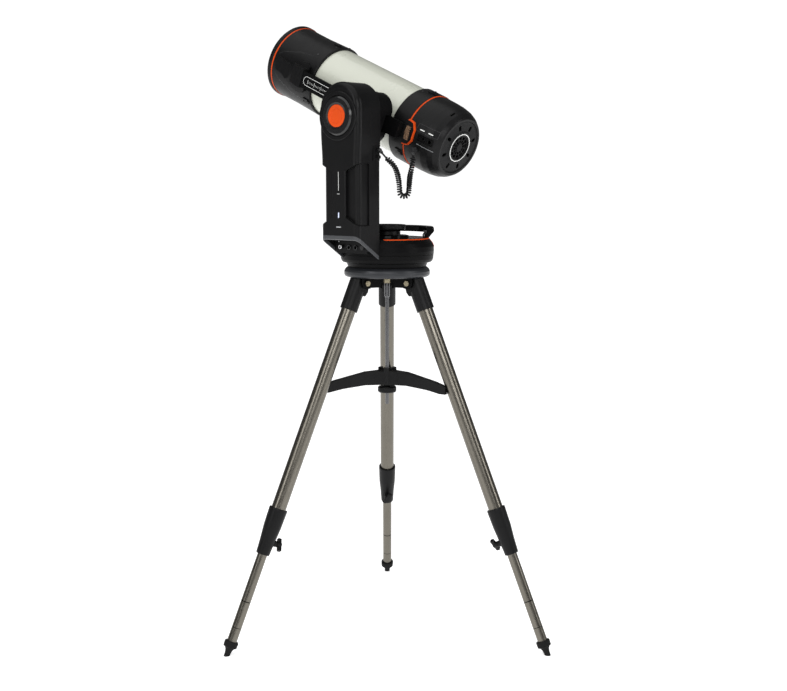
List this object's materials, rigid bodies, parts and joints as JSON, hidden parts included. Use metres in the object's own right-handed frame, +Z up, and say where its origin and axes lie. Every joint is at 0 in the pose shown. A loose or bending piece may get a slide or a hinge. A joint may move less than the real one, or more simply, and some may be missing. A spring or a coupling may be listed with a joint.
{
  "type": "telescope",
  "caption": "Short optical tube with a camera at prime focus, on a motorised single-arm alt-azimuth mount and an extending steel tripod",
  "frame": {"origin": "on the ground under the azimuth axis, midway between the feet", "axes": "+Z up, rear tripod leg toward +Y, the pictured view looks along +Y"},
  "size_m": [0.8306, 0.7251, 1.6144],
  "materials": {
    "head_paint": "satin metallic grey",
    "black_casting": "satin black powder coat",
    "zinc_bolt": "yellow passivated zinc",
    "steel": "turned steel",
    "leg_steel": "satin stainless tube",
    "black_plastic": "fine moulded texture",
    "arm_plastic": "satin moulded plastic",
    "gloss_black": "gloss",
    "rim_grey": "satin grey",
    "orange": "satin orange",
    "tube_white": "gloss white lacquer, faintly green",
    "rubber_foot": "matt",
    "cable_black": "semi-gloss",
    "glass": "coated optical glass",
    "mirror_face": "aluminised glass",
    "brass_gear": "machined",
    "camera_black": "anodised",
    "battery_grey": "shrink wrap"
  },
  "bodies": {
    "tripod": {"tripod_head": "head_paint", "hinge_yoke": "black_casting", "tripod_bolts": "zinc_bolt", "center_rod": "steel", "mount_lower_base": "black_casting", "azimuth_spindle": "steel", "azimuth_worm_wheel": "brass_gear"},
    "fork": {"base_housing": "arm_plastic", "base_accent_band": "orange", "battery_pack": "battery_grey", "azimuth_motor": "steel", "arm_outer_shell": "arm_plastic", "arm_inner_shell": "arm_plastic", "arm_rim_band": "rim_grey", "port_panel": "black_plastic", "altitude_motor": "steel", "cable_plug_arm": "gloss_black", "coiled_cable": "cable_black"},
    "spreader": {"leg_spreader": "black_plastic"},
    "tension_knob": {"tension_knob": "black_plastic"},
    "azimuth_clutch": {"azimuth_clutch_knob": "arm_plastic"},
    "azimuth_worm_shaft": {"azimuth_worm": "steel"},
    "altitude_worm_shaft": {"altitude_worm": "steel"},
    "power_button": {"power_button": "gloss_black"},
    "tube": {"altitude_spindle": "steel", "altitude_worm_wheel": "brass_gear", "saddle_clamp": "black_casting", "dovetail_bar": "black_casting", "main_tube": "tube_white", "front_cell": "arm_plastic", "tube_accent_bands": "orange", "corrector_plate": "glass", "camera_module": "camera_black", "rear_cell": "arm_plastic", "rear_housing": "arm_plastic", "rear_grille": "black_plastic", "cable_plug_tube": "gloss_black"},
    "altitude_clutch": {"altitude_clutch_knob": "gloss_black", "altitude_knob_disc": "orange"},
    "saddle_screw": {"saddle_knob": "black_plastic"},
    "mirror": {"primary_mirror": "mirror_face"},
    "fan": {"fan_rotor": "black_plastic"},
    "leg_1": {"leg_1_socket": "black_plastic", "leg_1_upper_tube": "leg_steel", "leg_1_clamp": "black_plastic"},
    "leg_1_extension": {"leg_1_lower_tube": "leg_steel", "leg_1_foot": "rubber_foot"},
    "leg_1_screw": {"leg_1_clamp_knob": "black_plastic"},
    "leg_2": {"leg_2_socket": "black_plastic", "leg_2_upper_tube": "leg_steel", "leg_2_clamp": "black_plastic"},
    "leg_2_extension": {"leg_2_lower_tube": "leg_steel", "leg_2_foot": "rubber_foot"},
    "leg_2_screw": {"leg_2_clamp_knob": "black_plastic"},
    "leg_3": {"leg_3_socket": "black_plastic", "leg_3_upper_tube": "leg_steel", "leg_3_clamp": "black_plastic"},
    "leg_3_extension": {"leg_3_lower_tube": "leg_steel", "leg_3_foot": "rubber_foot"},
    "leg_3_screw": {"leg_3_clamp_knob": "black_plastic"}
  },
  "joints": [
    {"name": "azimuth_turn", "type": "hinge", "parent": "tripod", "child": "fork", "pos_m": [0, 0, 1.003], "axis": [0, 0, 1], "continuous": true},
    {"name": "altitude_tilt", "type": "hinge", "parent": "fork", "child": "tube", "pos_m": [-0.06414, -0.07672, 1.351], "axis": [0.6414, 0.7672, 0], "range_deg": [-28, 66.8], "deforming": ["coiled_cable"]},
    {"name": "azimuth_worm_turn", "type": "hinge", "parent": "fork", "child": "azimuth_worm_shaft", "pos_m": [-0.04124, -0.04933, 1.0155], "axis": [0.7672, -0.6414, 0], "continuous": true},
    {"name": "altitude_worm_turn", "type": "hinge", "parent": "fork", "child": "altitude_worm_shaft", "pos_m": [-0.09429, -0.11277, 1.2917], "axis": [0.7672, -0.6414, 0], "range_deg": [-1690, 4010]},
    {"name": "azimuth_clutch_turn", "type": "hinge", "parent": "fork", "child": "azimuth_clutch", "pos_m": [0, 0, 1.06], "axis": [0, 0, 1], "range_deg": [0, 180]},
    {"name": "altitude_clutch_turn", "type": "hinge", "parent": "tube", "child": "altitude_clutch", "pos_m": [-0.12059, -0.14423, 1.351], "axis": [0.6414, 0.7672, 0], "range_deg": [0, 180]},
    {"name": "power_button_press", "type": "slide", "parent": "fork", "child": "power_button", "axis": [0.6414, 0.7672, 0], "range_m": [0, 0.0015], "stiffness_N_per_m": 400},
    {"name": "saddle_knob_turn", "type": "hinge", "parent": "tube", "child": "saddle_screw", "pos_m": [-0.03044, -0.0319, 1.27826], "axis": [0.3022, -0.2527, 0.9191], "range_deg": [0, 360]},
    {"name": "mirror_focus", "type": "slide", "parent": "tube", "child": "mirror", "axis": [0.7051, -0.5896, -0.3939], "range_m": [-0.003, 0.003]},
    {"name": "fan_spin", "type": "hinge", "parent": "tube", "child": "fan", "pos_m": [0.16939, -0.04387, 1.28324], "axis": [0.7051, -0.5896, -0.3939], "continuous": true},
    {"name": "spreader_turn", "type": "hinge", "parent": "tripod", "child": "spreader", "pos_m": [0, 0, 0.675], "axis": [0, 0, -1], "range_deg": [0, 60]},
    {"name": "tension_knob_turn", "type": "hinge", "parent": "tripod", "child": "tension_knob", "pos_m": [0, 0, 0.648], "axis": [0, 0, 1], "range_deg": [0, 720]},
    {"name": "leg_1_fold", "type": "hinge", "parent": "tripod", "child": "leg_1", "pos_m": [-0.06149, -0.0355, 0.929], "axis": [0.5, -0.866, 0], "range_deg": [0, 19.01]},
    {"name": "leg_1_slide", "type": "slide", "parent": "leg_1", "child": "leg_1_extension", "axis": [-0.3297, -0.1903, -0.9247], "range_m": [-0.225, 0.15]},
    {"name": "leg_1_knob_turn", "type": "hinge", "parent": "leg_1", "child": "leg_1_screw", "pos_m": [-0.28256, -0.16314, 0.26909], "axis": [0.8008, 0.4624, -0.3807], "range_deg": [0, 270]},
    {"name": "leg_2_fold", "type": "hinge", "parent": "tripod", "child": "leg_2", "pos_m": [0.06149, -0.0355, 0.929], "axis": [0.5, 0.866, 0], "range_deg": [0, 19.01]},
    {"name": "leg_2_slide", "type": "slide", "parent": "leg_2", "child": "leg_2_extension", "axis": [0.3297, -0.1903, -0.9247], "range_m": [-0.225, 0.15]},
    {"name": "leg_2_knob_turn", "type": "hinge", "parent": "leg_2", "child": "leg_2_screw", "pos_m": [0.28256, -0.16314, 0.26909], "axis": [-0.8008, 0.4624, -0.3807], "range_deg": [0, 270]},
    {"name": "leg_3_fold", "type": "hinge", "parent": "tripod", "child": "leg_3", "pos_m": [0, 0.071, 0.929], "axis": [-1, 0, 0], "range_deg": [0, 19.01]},
    {"name": "leg_3_slide", "type": "slide", "parent": "leg_3", "child": "leg_3_extension", "axis": [0, 0.3807, -0.9247], "range_m": [-0.225, 0.15]},
    {"name": "leg_3_knob_turn", "type": "hinge", "parent": "leg_3", "child": "leg_3_screw", "pos_m": [0, 0.32628, 0.26909], "axis": [0, -0.9247, -0.3807], "range_deg": [0, 270]}
  ],
  "couplings": [
    {"joint": "azimuth_worm_turn", "follows": "azimuth_turn", "ratio": 60},
    {"joint": "altitude_worm_turn", "follows": "altitude_tilt", "ratio": 60},
    {"joint": "leg_1_fold", "follows": "spreader_turn", "ratio": 0.31667},
    {"joint": "leg_2_fold", "follows": "spreader_turn", "ratio": 0.31667},
    {"joint": "leg_3_fold", "follows": "spreader_turn", "ratio": 0.31667}
  ]
}
